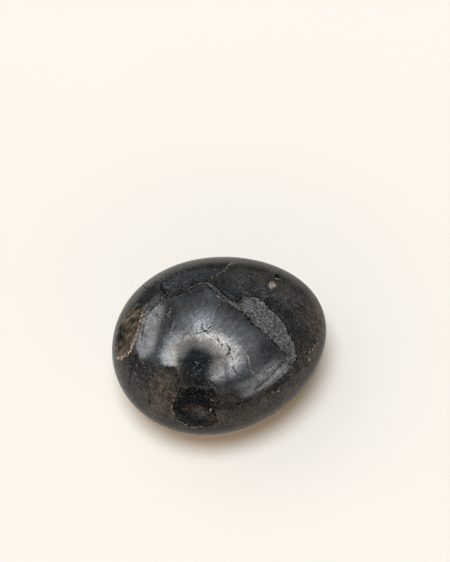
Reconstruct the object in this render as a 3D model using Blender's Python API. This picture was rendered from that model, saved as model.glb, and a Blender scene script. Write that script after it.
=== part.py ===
"""A palm stone of polished labradorite, modelled as the one piece of rock that it is.

The stone is a rounded, slightly egg-shaped pebble: its -X end is the thick one, and it thins and falls away
towards +X. Its underside is shallower than its crown, and is worn to a small flat on which it rests at z = 0.
The polish dips where softer mineral lies in the surface: a grainy vein across the crown, a pocket at the
thick end and a dark patch on the front flank.

Blender units are metres, +Z is up, +X runs along the stone, and the origin is under its middle.
"""

import math

import bmesh
import bpy
import numpy as np

MM = 0.001

# Driving dimensions of the pebble.
LENGTH = 62.9 * MM
WIDTH = 53.6 * MM  # across the middle
CROWN_RISE = 19.3 * MM  # from the girdle to the top, half way along
BELLY_DEPTH = 16.0 * MM  # from the girdle to the bottom, before the flat is worn away
FLAT_WEAR = 0.9 * MM  # how much of the bottom the resting flat takes
FLAT_EDGE = 0.4 * MM  # depth over which the flat rounds into the belly
WIDTH_TAPER = 0.073  # share of the half width lost from the middle to the +X end
RISE_TAPER = 0.30  # the same for the crown's rise
GIRDLE_BLEND = 0.5  # sine of the latitude where the blend between crown and belly ends

GIRDLE_HEIGHT = BELLY_DEPTH - FLAT_WEAR

# Faces along an edge of the cube that is rounded to the pebble, and how far they gather on the crown.
GRID = 28
CROWN_GATHER = 0.25

# Hollows in the polish. A route's stops are (x, y, half width) in millimetres, with x and y seen from above.
VEIN_ROUTE = [
    (1.2, 9.8, 1.1),
    (2.0, 4.8, 1.2),
    (4.2, 0.4, 1.5),
    (8.4, -2.4, 3.0),
    (10.8, -6.4, 3.8),
    (12.0, -10.2, 3.4),
    (13.4, -14.6, 2.3),
    (14.3, -17.8, 1.2),
]
VEIN_DEPTH = 0.25 * MM
POCKET_ROUTE = [(-20.4, 11.6, 2.0), (-24.2, 7.8, 3.4), (-27.2, 4.4, 3.0)]
POCKET_DEPTH = 0.45 * MM
PATCH_ROUTE = [(-18.6, -17.6, 4.4), (-15.8, -21.6, 4.6)]
PATCH_DEPTH = 0.30 * MM
HOLLOW_WALL = 1.6 * MM  # distance over which a hollow's wall falls

ROCK_COLOUR = (0.045, 0.050, 0.054, 1.0)
ROCK_ROUGHNESS = 0.16


def unit(vectors):
    return vectors / np.linalg.norm(vectors, axis=-1, keepdims=True)


def cube_directions(corners):
    """Unit directions for points of a cube 2 units wide, evenly spread, then gathered on the crown."""
    spread = unit(np.tan(corners * math.pi / 4))
    return unit(spread + [0.0, 0.0, CROWN_GATHER])


def pebble(directions):
    """Points of the polished pebble, one for each unit direction (dx, dy, dz).

    x = LENGTH / 2 * dx
    y = WIDTH / 2 * dy * (1 - WIDTH_TAPER * dx)
    z = GIRDLE_HEIGHT + dz * h, worn flat at the bottom. h goes smoothly from BELLY_DEPTH below the girdle to
        CROWN_RISE * (1 - RISE_TAPER * dx) above it.
    """
    dx, dy, dz = directions.T
    latitude = np.clip(dz / GIRDLE_BLEND, -1, 1)
    crown_share = 0.5 + 0.5 * latitude * (1.5 - 0.5 * latitude**2)
    rise = CROWN_RISE * (1 - RISE_TAPER * dx)
    x = LENGTH / 2 * dx
    y = WIDTH / 2 * dy * (1 - WIDTH_TAPER * dx)
    z = GIRDLE_HEIGHT + dz * (BELLY_DEPTH + (rise - BELLY_DEPTH) * crown_share)
    return np.stack([x, y, worn_flat(z)], axis=1)


def worn_flat(z):
    """z where the pebble clears the flat, 0 on the flat, and a parabola over the rounded edge between."""
    edge = (z + FLAT_EDGE) ** 2 / (4 * FLAT_EDGE)
    return np.where(z >= FLAT_EDGE, z, np.where(z <= -FLAT_EDGE, 0.0, edge))


def crown_point(x, y):
    """The point of the pebble's upper side over (x, y)."""
    dx = x / (LENGTH / 2)
    dy = y / (WIDTH / 2 * (1 - WIDTH_TAPER * dx))
    dz = math.sqrt(1 - dx**2 - dy**2)
    return pebble(np.array([[dx, dy, dz]]))[0]


def hollow(points, route):
    """1 on a hollow's floor, 0 outside it, and a smooth wall between, at each of the points.

    The hollow is swept from stop to stop of its route, and its half width changes evenly on the way.
    """
    stops = [(crown_point(x * MM, y * MM), half * MM) for x, y, half in route]
    level = np.zeros(len(points))
    for (start, start_half), (end, end_half) in zip(stops, stops[1:]):
        run = end - start
        share = np.clip((points - start) @ run / (run @ run), 0, 1)
        distance = np.linalg.norm(points - start - share[:, None] * run, axis=1)
        half = start_half + share * (end_half - start_half)
        level = np.maximum(level, np.clip((half - distance) / HOLLOW_WALL + 0.5, 0, 1))
    return level * level * (3 - 2 * level)


def relief(points):
    """Depth below the polish at each of the points, in metres."""
    return (
        VEIN_DEPTH * hollow(points, VEIN_ROUTE)
        + POCKET_DEPTH * hollow(points, POCKET_ROUTE)
        + PATCH_DEPTH * hollow(points, PATCH_ROUTE)
    )


def read_vectors(vertices, name):
    values = np.empty(len(vertices) * 3, np.float32)
    vertices.foreach_get(name, values)
    return values.reshape(-1, 3).astype(float)


def move_vertices(mesh, points):
    mesh.vertices.foreach_set("co", points.astype(np.float32).ravel())
    mesh.update()


def cube_grid(name):
    """A cube primitive 2 units wide, with each side cut into a square grid."""
    mesh = bpy.data.meshes.new(name)
    cube = bmesh.new()
    bmesh.ops.create_cube(cube, size=2.0)
    bmesh.ops.subdivide_edges(cube, edges=cube.edges[:], cuts=GRID - 1, use_grid_fill=True)
    cube.to_mesh(mesh)
    cube.free()
    return mesh


def add_palm_stone(collection):
    """The stone: the cube grid rounded to the pebble, then sunk along its normals where it has hollows."""
    mesh = cube_grid("palm_stone")
    surface = pebble(cube_directions(read_vectors(mesh.vertices, "co")))
    move_vertices(mesh, surface)
    normals = read_vectors(mesh.vertices, "normal")
    move_vertices(mesh, surface - normals * relief(surface)[:, None])
    mesh.shade_smooth()
    mesh.materials.append(polished_rock())
    collection.objects.link(bpy.data.objects.new("palm_stone", mesh))


def polished_rock():
    material = bpy.data.materials.new("polished_labradorite")
    material.use_nodes = True
    shader = material.node_tree.nodes["Principled BSDF"]
    shader.inputs["Base Color"].default_value = ROCK_COLOUR
    shader.inputs["Roughness"].default_value = ROCK_ROUGHNESS
    shader.inputs["Metallic"].default_value = 0.0
    return material


def clear_scene():
    for obj in list(bpy.data.objects):
        bpy.data.objects.remove(obj, do_unlink=True)


def main():
    clear_scene()
    collection = bpy.data.collections.new("labradorite_palm_stone")
    bpy.context.scene.collection.children.link(collection)
    add_palm_stone(collection)


main()
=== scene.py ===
"""Labradorite palm stone: the fine polished surface, its minerals and a plain studio.

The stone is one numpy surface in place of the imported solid. Its veins, seams, fissures and mineral zones are
drawn on it as attributes, most of them from routes given where the camera sees them, in a view of 450 x 562
units.
"""

import math

import bpy
import numpy as np
from mathutils import Matrix, Vector
from mathutils.bvhtree import BVHTree


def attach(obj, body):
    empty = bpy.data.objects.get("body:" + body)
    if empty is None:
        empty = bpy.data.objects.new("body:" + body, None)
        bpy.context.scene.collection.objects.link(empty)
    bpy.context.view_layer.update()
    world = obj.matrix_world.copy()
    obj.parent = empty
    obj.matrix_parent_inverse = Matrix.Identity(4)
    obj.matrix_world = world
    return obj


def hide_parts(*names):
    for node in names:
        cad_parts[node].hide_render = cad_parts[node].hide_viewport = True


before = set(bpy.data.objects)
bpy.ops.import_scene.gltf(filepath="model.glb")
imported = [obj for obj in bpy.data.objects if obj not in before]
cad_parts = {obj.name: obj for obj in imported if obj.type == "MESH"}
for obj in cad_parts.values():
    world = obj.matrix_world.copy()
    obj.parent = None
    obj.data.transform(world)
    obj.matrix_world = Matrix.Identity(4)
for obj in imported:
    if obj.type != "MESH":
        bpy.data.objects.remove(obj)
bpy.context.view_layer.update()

bl_info = {
    "name": "Labradorite Palm Stone",
    "version": (1, 0, 0),
    "blender": (4, 5, 0),
    "location": "3D View > Sidebar > Palm Stone",
    "description": "Makes a polished labradorite palm stone and a plain studio to show it in",
    "category": "Add Mesh",
}

MM = 0.001

# ----------------------------------------------------------------------
# The camera, and the view in which the marks of the stone's near side are placed
# ----------------------------------------------------------------------

VIEW_WIDTH = 450
VIEW_HEIGHT = 562
VIEW_AZIMUTH = math.radians(-24.2)
VIEW_ELEVATION = math.radians(60.0)
VIEW_DISTANCE = 430 * MM
VIEW_FOCAL = 1500.0  # focal length, in units of the view
STONE_IN_VIEW = (220.5, 341.9)  # where the middle of the stone's girdle is seen
VIEW_UNIT = 0.2873 * MM  # size on the stone of one unit of the view
SENSOR = 36.0


def view_axes():
    """Right, up and back of the camera, as three unit vectors, and its place.

    Back is set by azimuth and elevation, and the place is VIEW_DISTANCE along it from the girdle's middle.
    The camera is then turned a little, so that the girdle's middle is seen at STONE_IN_VIEW.
    """
    level = math.cos(VIEW_ELEVATION)
    rise = math.sin(VIEW_ELEVATION)
    back = Vector((math.sin(VIEW_AZIMUTH) * level, -math.cos(VIEW_AZIMUTH) * level, rise))
    place = Vector((0, 0, girdle_height())) + back * VIEW_DISTANCE
    aimed = back.to_track_quat("Z", "Y").to_matrix()
    pitch = math.atan((STONE_IN_VIEW[1] - VIEW_HEIGHT / 2) / VIEW_FOCAL)
    yaw = math.atan((STONE_IN_VIEW[0] - VIEW_WIDTH / 2) / VIEW_FOCAL)
    turned = aimed @ Matrix.Rotation(pitch, 3, "X") @ Matrix.Rotation(yaw, 3, "Y")
    return np.array(turned.col[0]), np.array(turned.col[1]), np.array(turned.col[2]), np.array(place)


def view_places(points):
    """Where each point is seen: (x, y) in units of the view, x to the right and y downwards."""
    right, up, back, place = view_axes()
    offset = points - place
    depth = -(offset @ back)
    x = VIEW_WIDTH / 2 + VIEW_FOCAL * (offset @ right) / depth
    y = VIEW_HEIGHT / 2 - VIEW_FOCAL * (offset @ up) / depth
    return np.stack([x, y], axis=1)


def view_ray(x, y):
    """The camera's place, and the direction from it of what is seen at (x, y)."""
    right, up, back, place = view_axes()
    ray = right * (x - VIEW_WIDTH / 2) - up * (y - VIEW_HEIGHT / 2) - back * VIEW_FOCAL
    return Vector(place), Vector(ray).normalized()


# ----------------------------------------------------------------------
# The stone's form: the same pebble and hollows as the solid's
# ----------------------------------------------------------------------

HOLLOW_WALL = 1.6 * MM  # how wide a hollow's sloping wall is
SKIN_INSET = 0.02 * MM  # keeps the fine surface inside the solid's flat facets
THREAD_REACH = 2.5 * MM  # how far from a thin line its marks are worked out
THREAD_STEP = 0.7 * MM  # how often a thin line strays
FISSURE_WANDER = 0.16 * MM
SEAM_WANDER = 0.18 * MM
BAND_STEP = 3.0 * MM  # how often a vein on the far side strays
BAND_WANDER = 0.5 * MM
PIT_DEPTH = 0.45 * MM
SEAM_RISE = 0.10 * MM  # how far the golden seams stand up
REST_LOW = 1.0 * MM  # below this height the surface has no relief, so that the stone rests on its flat
REST_HIGH = 3.0 * MM  # above this height it has all of it
FAR_MARGIN = -1.0  # margin of a mark, in metres, where there is none of it
KEPT_MARGINS = (-3, 8)  # least and most margin that is kept for the finish, in millimetres
CRUMBS = ((0.55, 1.6), (0.45, 2.6))  # the smaller grains beside each bright one
# Each stop of a hollow is (x, y, half width) in millimetres, with x and y seen from above.
VEIN_HOLLOW = [
    (1.2, 9.8, 1.1), (2.0, 4.8, 1.2), (4.2, 0.4, 1.5), (8.4, -2.4, 3.0), (10.8, -6.4, 3.8),
    (12.0, -10.2, 3.4), (13.4, -14.6, 2.3), (14.3, -17.8, 1.2),
]
POCKET_HOLLOW = [(-20.4, 11.6, 2.0), (-24.2, 7.8, 3.4), (-27.2, 4.4, 3.0)]
PATCH_HOLLOW = [(-18.6, -17.6, 4.4), (-15.8, -21.6, 4.6)]


def girdle_height():
    """Height of the stone's widest level: the belly's depth, less what the flat has worn off."""
    sizes = bpy.context.scene.palm_stone
    return sizes.belly_depth - sizes.flat_wear


def unit(vectors):
    """Each vector divided by its own length."""
    return vectors / np.linalg.norm(vectors, axis=-1, keepdims=True)


def smooth(values, low, high):
    """0 below low, 1 above high, and 3 t^2 - 2 t^3 between."""
    share = np.clip((values - low) / (high - low), 0, 1)
    return share * share * (3 - 2 * share)


def pebble(directions):
    """Points of the polished pebble, one for each unit direction (dx, dy, dz).

    x is half the length times dx. y is half the width times dy, less the taper. z is the girdle's height,
    plus dz times a height that goes smoothly from the belly's depth to the crown's tapered rise, and is then
    worn flat: a parabola joins it to the flat over the edge's depth.
    """
    sizes = bpy.context.scene.palm_stone
    dx, dy, dz = directions.T
    crown_share = smooth(dz, -sizes.girdle_blend, sizes.girdle_blend)
    rise = sizes.crown_rise * (1 - sizes.rise_taper * dx)
    x = sizes.length / 2 * dx
    y = sizes.width / 2 * dy * (1 - sizes.width_taper * dx)
    z = girdle_height() + dz * (sizes.belly_depth + (rise - sizes.belly_depth) * crown_share)
    edge = sizes.flat_edge
    worn = np.where(z >= edge, z, np.where(z <= -edge, 0.0, (z + edge) ** 2 / (4 * edge)))
    return np.stack([x, y, worn], axis=1)


def crown_point(x, y):
    """The point of the pebble's upper side over (x, y)."""
    sizes = bpy.context.scene.palm_stone
    dx = x / (sizes.length / 2)
    dy = y / (sizes.width / 2 * (1 - sizes.width_taper * dx))
    return pebble(np.array([[dx, dy, math.sqrt(1 - dx**2 - dy**2)]]))[0]


def side_point(bearing, latitude):
    """The pebble's point at a bearing from +X and a latitude from the girdle, both in degrees."""
    turn = math.radians(bearing)
    tilt = math.radians(latitude)
    direction = [math.cos(turn) * math.cos(tilt), math.sin(turn) * math.cos(tilt), math.sin(tilt)]
    return pebble(np.array([direction]))[0]


def cube_shell(cells):
    """Corners and outward quads of a cube from -1 to 1, whose sides are square grids with shared edges."""
    count = cells + 1
    u, v = np.meshgrid(np.arange(count), np.arange(count), indexing="ij")
    sides = []
    for axis in range(3):
        for level in (0, cells):
            side = [None, None, None]
            side[axis] = np.full_like(u, level)
            ways = [(axis + 1) % 3, (axis + 2) % 3]
            first, second = ways if level else reversed(ways)
            side[first], side[second] = u, v
            sides.append(side[0] + count * (side[1] + count * side[2]))
    codes, number = np.unique(np.stack(sides), return_inverse=True)
    number = number.reshape(6, count, count)
    ring = [number[:, :-1, :-1], number[:, 1:, :-1], number[:, 1:, 1:], number[:, :-1, 1:]]
    corners = np.stack([codes % count, codes // count % count, codes // count**2], axis=1)
    return corners * 2 / cells - 1, np.stack(ring, axis=-1).reshape(-1, 4)


def margin_to_route(points, stops, halves):
    """How far inside a band each point lies: half the band's width less the distance to its middle.

    The band runs through the stops, and its half width changes evenly from one to the next.
    """
    margin = np.full(len(points), FAR_MARGIN)
    for start, end, start_half, end_half in zip(stops, stops[1:], halves, halves[1:]):
        run = end - start
        share = np.clip((points - start) @ run / max(run @ run, 1e-12), 0, 1)
        distance = np.linalg.norm(points - start - share[:, None] * run, axis=1)
        margin = np.maximum(margin, start_half + share * (end_half - start_half) - distance)
    return margin


def hollow(points, route):
    """1 on a hollow's floor, 0 outside it, and a smooth wall between."""
    stops = [crown_point(x * MM, y * MM) for x, y, _ in route]
    halves = [half * MM for _, _, half in route]
    return smooth(margin_to_route(points, stops, halves) / HOLLOW_WALL, -0.5, 0.5)


# ----------------------------------------------------------------------
# Marks on the near side, as (x, y) in the view
# ----------------------------------------------------------------------

# The grainy grey vein: down its lower left edge, and back up its upper right one.
VEIN_OUTLINE = [
    (204.7, 283), (212.3, 290), (218.5, 296), (227.7, 303), (237, 310), (244.5, 313), (247.6, 319),
    (252.2, 324.4), (258.3, 326.7), (264.5, 333.6), (273.7, 342), (281.3, 349.7), (285.5, 354.3),
    (286, 360.5), (288.5, 365.5), (293, 364.5), (296.7, 357.3), (296.7, 349.7), (292, 339), (289, 333),
    (286, 325), (281.3, 320.5), (278.3, 314.4), (272, 310), (264.5, 302), (258.3, 297.5), (249, 296.5),
    (241, 297.5), (236.5, 303), (229.5, 298), (221.5, 291.5), (214, 284), (208, 281),
]
# The sheen plate: a large clean crystal between the seams, the vein and the lower crack.
PLATE_OUTLINE = [
    (203, 284), (195.5, 288), (184.7, 294), (172, 299), (163, 304.5), (155, 306), (148.5, 311),
    (142.5, 318), (139.5, 329), (136, 341), (134.5, 350), (138, 357), (147, 361), (155, 365), (166, 366),
    (179, 368.5), (180, 378), (182, 387), (197, 387), (210, 387), (219, 390), (229, 392), (238, 396),
    (248, 399), (259, 395), (275, 383.5), (287.5, 371), (293, 362), (286, 354.3), (273.7, 342),
    (258.3, 326.7), (247.6, 319), (237, 310), (218.5, 296),
]
# The olive pocket at the full end.
POCKET_OUTLINE = [
    (144.5, 304), (141, 313), (138, 321), (136.5, 330), (134.5, 337), (131.5, 344), (128, 351),
    (123, 355.5), (118, 356.5), (116, 351), (115.8, 342), (118.5, 330), (123.5, 317.5), (131, 307.5),
]
# The dark, pitted patch near the front.
PATCH_OUTLINE = [
    (181, 394), (176.5, 400), (171, 403.5), (171, 409.5), (175.5, 419), (186, 426), (197, 428), (212, 425),
    (218.5, 422), (213.5, 412.5), (212, 404), (207, 398), (205, 391), (196, 387.5), (187, 389),
]
# The round pale spot beside the pit.
SPOT_OUTLINE = [
    (276, 285), (275, 287.8), (272.2, 289), (269.4, 287.8), (268.2, 284.8), (269.6, 281.8), (272.4, 280.8),
    (275.2, 282.2),
]

# Fissures, each (half width in millimetres, stops).
FISSURES = [
    (0.19, [(239.9, 257.7), (232.3, 262.3), (228.1, 266.1), (223.1, 271.5), (215.4, 276.1), (207, 281)]),
    (0.19, [(203, 281.5), (195.5, 286), (189.5, 289), (184.7, 291), (178.6, 294.5), (170, 296.5)]),
    (0.40, [(160.9, 283), (161.6, 287.5), (163.6, 291.5), (166.8, 294.6)]),
    (0.14, [(163.5, 288.5), (167, 290), (172, 291.5)]),
    (0.12, [(152, 283), (157, 281), (161.5, 282)]),
    (0.17, [(168, 295.5), (161.7, 299), (157, 303), (151, 310.6), (146.6, 317.7)]),
    (0.15, [(146.6, 317.7), (143.7, 326.3), (142.3, 333.4), (141.1, 342)]),
    (0.22, VEIN_OUTLINE[:5]),
    (0.24, VEIN_OUTLINE[4:10]),
    (0.20, [(264.5, 333.6), (273.7, 342), (281.3, 349.7), (286, 354.3)]),
    (0.15, [(208, 281), (214, 284), (222, 291.5), (229, 297.5), (236, 302), (241, 298.5)]),
    (0.22, [(237.5, 300), (241.5, 305), (244.5, 311), (248, 316), (252, 321.5)]),
    (0.20, [(249, 296.5), (257.5, 297), (264.5, 302), (268, 306.5), (272, 310), (276.5, 313.5)]),
    (0.14, [(278.3, 314.4), (281.3, 320.5), (286, 325), (289, 333), (293.5, 342)]),
    (0.19, [(297, 351), (297.5, 357), (296.5, 361)]),
    (0.13, [(286.5, 358), (279.5, 367), (272.7, 373.9), (266.4, 380.2), (254.8, 390)]),
    (0.17, [(203, 331.5), (206, 330), (209.5, 327.5), (213.5, 325.5)]),
    (0.16, [(193, 334.2), (199, 333.5), (203, 331.5), (206, 330), (209, 333.5)]),
    (0.12, [(202, 322), (202.4, 324.5), (201.6, 327), (203.7, 331.1)]),
    (0.15, [(217.8, 337.5), (219.2, 340.5), (219.6, 342.5)]),
    (0.16, [(227.2, 345), (229.6, 348.5), (229.8, 351), (228.4, 353.4), (225.2, 355.6)]),
    (0.12, [(229.6, 352.5), (230.6, 356), (232.8, 360)]),
    (0.22, [(136.8, 353), (134.1, 359.9), (131.8, 369.8), (129.5, 379.8), (128.6, 384)]),
    (0.15, [(134.5, 362.5), (132, 366.5), (130.5, 372)]),
    (0.17, [(147, 386.5), (149.2, 392), (148.6, 397.5)]),
    (0.20, [(148.8, 397), (149.8, 402), (148.9, 407.3)]),
    (0.12, [(178.8, 371), (177.6, 377), (180.2, 384), (186, 389.5)]),
    (0.06, [(219, 375), (222, 378), (225, 380)]),
    (0.08, [(256.5, 370), (261, 364.5), (266, 360)]),
    (0.05, [(155.5, 305), (152.5, 318), (150.5, 330)]),
    (0.22, [(181.5, 389), (187, 390), (193, 388.5), (200, 391), (206.5, 391), (211, 397)]),
    (0.20, [(211, 397), (213, 404), (212.5, 410), (216.5, 417), (215.5, 423), (207, 425.5)]),
    (0.16, [(182, 389), (176, 397), (172.5, 404)]),
    (0.07, [(153.5, 312), (158, 317), (164, 321)]),
    (0.14, [(209, 381), (213.5, 386), (221, 388.5), (228, 386.5)]),
]
# Golden seams, each (half width in millimetres, stops), and one painted highlight.
GOLD_SEAMS_AND_HIGHLIGHT = [
    (0.24, [(240.8, 256.8), (233.3, 261.6), (228.8, 265.4), (223.8, 270.6), (216.1, 275.2), (209, 279.6)]),
    (0.17, [(203, 282.8), (198, 284), (194, 286.4), (189.5, 288.4), (184.7, 290.8)]),
    (0.22, [(181.5, 294.8), (178.6, 296.2)]),
    (0.34, [(146.4, 303.7), (143.3, 311), (140.3, 319), (138.4, 326.7), (137.5, 333.6), (135, 339)]),
    (0.42, [(135, 339), (133.4, 343.5), (130.3, 349.7), (128, 354), (124, 357)]),
    (0.48, [(126.5, 355.5), (123, 357.5), (119.5, 358.6), (116.2, 358)]),
    (0.16, [(214, 292.5), (219.5, 297.5), (225.5, 302)]),
    (0.15, [(239.5, 303), (243, 307), (245.5, 311.5), (249, 315.5)]),
    (0.17, [(257, 325), (260.5, 327.5)]),
    (0.20, [(220.8, 303), (217.5, 308), (214.6, 312)]),
    (0.16, [(174, 320.5), (172, 327), (170.2, 332)]),
    (0.14, [(293.6, 303.8), (297.5, 306.2)]),
    (0.12, [(292, 311.5), (295, 314)]),
    (0.12, [(296.7, 320.5), (300.5, 325)]),
    (0.09, [(249, 357), (250.2, 361.5), (250.4, 366)]),
    (0.20, [(251, 370.5), (254, 373), (257, 375)]),
    (0.18, [(254.5, 376.5), (256.5, 379.5)]),
    (0.16, [(137.5, 364), (137, 368)]),
    (0.14, [(162, 303), (157.5, 309), (152, 316), (149.5, 325)]),
    (0.19, [(211.5, 408), (210.6, 412.5)]),
    (0.13, [(175, 397.5), (171.8, 403.5), (171.2, 409.5), (174, 415), (178, 419)]),
    (0.12, [(181, 422), (187.5, 425.6), (194, 427.4), (201, 427)]),
    (0.07, [(180, 386.5), (185, 388.5), (189, 387.5)]),
    (0.015, [(198.5, 363), (193.5, 369), (194.5, 375), (192, 381.5)]),
    # A painted highlight: the thin light line along the left edge of the camera stand's reflection.
    (0.09, [(178.8, 368.5), (178.4, 374), (178.6, 380)]),
    (0.13, [(182, 338.5), (185.5, 334), (190.5, 332.5)]),
    (0.12, [(171, 311), (168.5, 314.5), (170, 318)]),
    (0.12, [(237, 376.5), (234, 371), (232.5, 366.5)]),
    (0.07, [(246, 351.5), (248, 355), (252, 359)]),
    (0.07, [(258, 391.5), (268, 384.5), (277, 377), (286, 367.5)]),
    (0.07, [(264, 374), (271, 367), (279, 360)]),
    (0.10, [(230, 258.5), (233.5, 260), (236, 263.5), (234, 266)]),
]
# Bright grains, each (x, y, radius in millimetres). The one at (277.2, 277.2), in the pit's middle,
# is a painted glint.
BRIGHT_GRAINS_AND_GLINT = [
    (269.6, 284.4, 0.34), (273.2, 285.8, 0.34), (274.6, 283, 0.20), (270.6, 287.2, 0.20),
    (277.2, 277.2, 0.36), (203, 302, 0.26), (186, 309, 0.26), (170.2, 308.6, 0.26), (146.5, 303.5, 0.28),
    (159.6, 320.2, 0.26), (161.6, 298.4, 0.24), (278, 391.4, 0.28), (279.8, 388.4, 0.24),
    (273.5, 393.5, 0.24), (247.6, 409.5, 0.26), (237, 394, 0.20), (144.4, 365, 0.28), (143.2, 362.6, 0.24),
    (211.5, 400.5, 0.15), (309.2, 359.4, 0.34), (308, 357, 0.26), (311, 355.4, 0.24), (313.4, 352.6, 0.32),
    (312.6, 349.4, 0.28), (315.8, 350.4, 0.28), (314.4, 345.6, 0.30), (317.6, 343, 0.28),
    (316.4, 338.2, 0.22), (319.6, 341, 0.22), (309.8, 352, 0.20), (305.4, 351.6, 0.20),
    (171.4, 404.6, 0.22), (174.6, 414.2, 0.16), (187.4, 424.2, 0.20), (240.6, 396, 0.20), (255, 326, 0.22),
    (246.2, 300.2, 0.20), (259, 299, 0.26), (262, 318, 0.22), (253, 303.8, 0.22), (219.5, 264, 0.20),
    (213.4, 263.4, 0.18), (214.6, 269.2, 0.22), (146.2, 305, 0.16), (144.2, 309.5, 0.18),
    (142, 315.5, 0.20), (140.2, 321, 0.22), (138.9, 326.5, 0.25), (138, 330.5, 0.30), (136.4, 333.8, 0.26),
    (134.4, 338.5, 0.22), (132.8, 343, 0.26), (130.8, 348, 0.30), (128, 352.5, 0.36), (125, 355.2, 0.42),
    (122.4, 357.2, 0.44), (118, 358.2, 0.28),
]
# The pit's black is painted shade in the hole.
PIT = (277.6, 276.9, 1.10)  # (x, y, radius in millimetres)

# Soft zones of stain, shade, clouding and flecks, each (x, y, half width, half height, turn in degrees,
# strength). The shade is partly painted shade, and the clouding partly painted blue sheen.
BROWN_ZONES = [
    (165, 381, 15, 15, 30, 0.95), (162, 402, 14, 13, 0, 0.90), (148, 381, 12, 18, -20, 0.25),
    (176, 373, 6, 5, 0, 0.6), (303, 306, 12, 18, -30, 0.80), (314, 322, 12, 26, -8, 0.95),
    (308, 350, 14, 18, 20, 0.75), (296, 372, 9, 9, 0, 0.7), (249, 411, 30, 9, -22, 0.50),
    (284, 292, 16, 9, 30, 0.80), (258, 280, 22, 11, 8, 0.60), (264, 399, 8, 6, -30, 1),
    (181, 306, 9, 6, -10, 0.9), (170, 301, 11, 4, -20, 0.6), (192, 298, 10, 4, -20, 0.5),
    (281, 392, 12, 9, -40, 0.45), (243, 268, 16, 6, 10, 0.45), (291, 284, 14, 9, 30, 0.45),
    (218, 418, 12, 5, -10, 0.75), (231, 399, 14, 8, -20, 0.60), (267, 274, 18, 10, 15, 0.20),
    (133, 302, 8, 8, 0, 0.4),
]
RUST_ZONES = [
    (169, 395, 6, 3, 0, 0.5), (220, 417, 8, 3.5, -12, 0.45), (187, 408, 3, 2, 0, 0.35),
    (250, 410, 5, 3, -20, 0.5), (320, 318, 6, 18, -6, 0.30), (164, 374, 5, 6, 10, 0.25),
    (198, 407, 6, 1.5, 25, 0.25),
]
# Darker zones: some dark mineral, some painted shade. (214, 430) paints the shadowed floor that the lower rim
# reflects, (195, 381) the camera stand's dark reflection in the sheen plate, and (277.6, 277) the shade in the
# pit; (270.5, 358), (250, 375), (238, 392) and (243, 391) darken the sheen to shape the front right band's
# reflection.
SHADE_ZONES = [
    (152, 292, 9, 6, -30, 0.95), (150, 300, 12, 4.5, -32, 1), (214, 430, 38, 5, -3, 0.8),
    (140, 304, 11, 4.5, -35, 0.85), (276, 390, 14, 8, -35, 0.75), (233, 270, 12, 6, -25, 0.60),
    (240, 413, 22, 6, -15, 0.68), (236, 403, 18, 6, -15, 0.35), (270.5, 358, 10, 3.5, -46, 0.55),
    (250, 375, 8, 4, -46, 0.4), (238, 392, 10, 7, -30, 0.75), (251, 409, 10, 4, -15, 0.7),
    (232, 408, 8, 3, 0, 0.7), (222, 294, 19, 5, 38, 0.60), (239.5, 301, 5, 4, 0, 0.7),
    (196, 292, 13, 4, -20, 0.75), (226, 404, 12, 4, 0, 0.75), (195, 381, 14, 10, 0, 0.50),
    (286, 315, 10, 8, 30, 0.50), (166, 370, 11, 3.5, 10, 0.50), (268, 349, 13, 11, 35, 0.70),
    (299, 336, 9, 16, -20, 0.45), (286, 350, 6, 8, 0, 0.6), (178, 376, 6, 6, 0, 0.6),
    (119.8, 337, 5.2, 7, 12, 1), (121.5, 329, 3.6, 6, 15, 1), (130, 321.5, 8, 1.8, -35, 0.75),
    (126, 349, 4.5, 7, 30, 0.6), (130, 330, 7, 2.4, -32, 0.8), (138, 312, 5, 5, 20, 0.4),
    (118.5, 349, 2.5, 7, 5, 0.7), (221, 268, 15, 9, -10, 1), (226, 280, 8, 6, 0, 0.9),
    (187, 326, 8, 9, 0, 0.5), (250, 266, 14, 6, 10, 0.6), (293, 313, 9, 12, 0, 0.35),
    (277.6, 277, 3.2, 2.8, 0, 1), (136, 372, 10, 20, 10, 0.35), (184, 297, 14, 5, -15, 0.3),
    (225, 262, 12, 4, 0, 0.5), (258, 284, 12, 4, 10, 0.2), (269.5, 374.5, 20, 3, -46, 0.80),
    (226.4, 370, 3, 13, -2, 1), (229, 353, 3.2, 6, -10, 0.5), (243, 391, 8, 6, -35, 0.65),
]
# Blue-grey clouding: partly the stone's own tone, partly its blue sheen painted in as colour.
MIST_AND_SHEEN_ZONES = [
    (183, 273, 20, 8, -18, 0.85), (171, 286, 8, 5, -20, 1), (203, 270, 14, 7, -14, 0.65),
    (236, 281, 9, 6, 10, 0.9), (262, 292, 18, 6, 12, 0.75), (244, 289, 15, 7, 25, 0.55),
    (287, 302, 8, 8, 30, 0.8), (276, 322, 16, 22, 35, 0.25), (287, 385, 12, 8, -40, 0.30),
    (200.5, 412.5, 8.5, 4, 25, 1), (145, 375, 14, 12, 0, 0.30),
]
SPECK_ZONES = [
    (196, 378, 18, 12, 0, 0.8), (312, 352, 9, 13, 10, 1), (170, 402, 16, 18, 0, 0.35),
    (248, 372, 14, 14, -30, 0.6), (238, 302, 9, 6, 30, 0.9), (140, 360, 14, 16, 0, 0.5),
    (206, 330, 28, 14, 0, 0.8), (278, 390, 12, 8, 0, 0.8), (150, 374, 16, 14, 0, 0.6),
    (226, 350, 14, 16, 0, 0.7), (272, 284, 9, 7, 0, 0.6), (205, 284, 14, 8, -20, 0.6),
    (215, 424, 24, 6, 0, 0.4), (296, 308, 10, 12, 0, 0.4), (168, 318, 12, 18, 0, 0.8),
    (232, 396, 18, 9, 0, 0.8), (132, 372, 12, 16, 0, 0.6), (225, 308, 12, 14, 0, 0.4),
]
FIBRE_CENTRE = (199.0, 357.0)  # what the sheen plate's fine fibres point away from
FIBRE_COUNT = 90  # about how many fibres there are all round it
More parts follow.
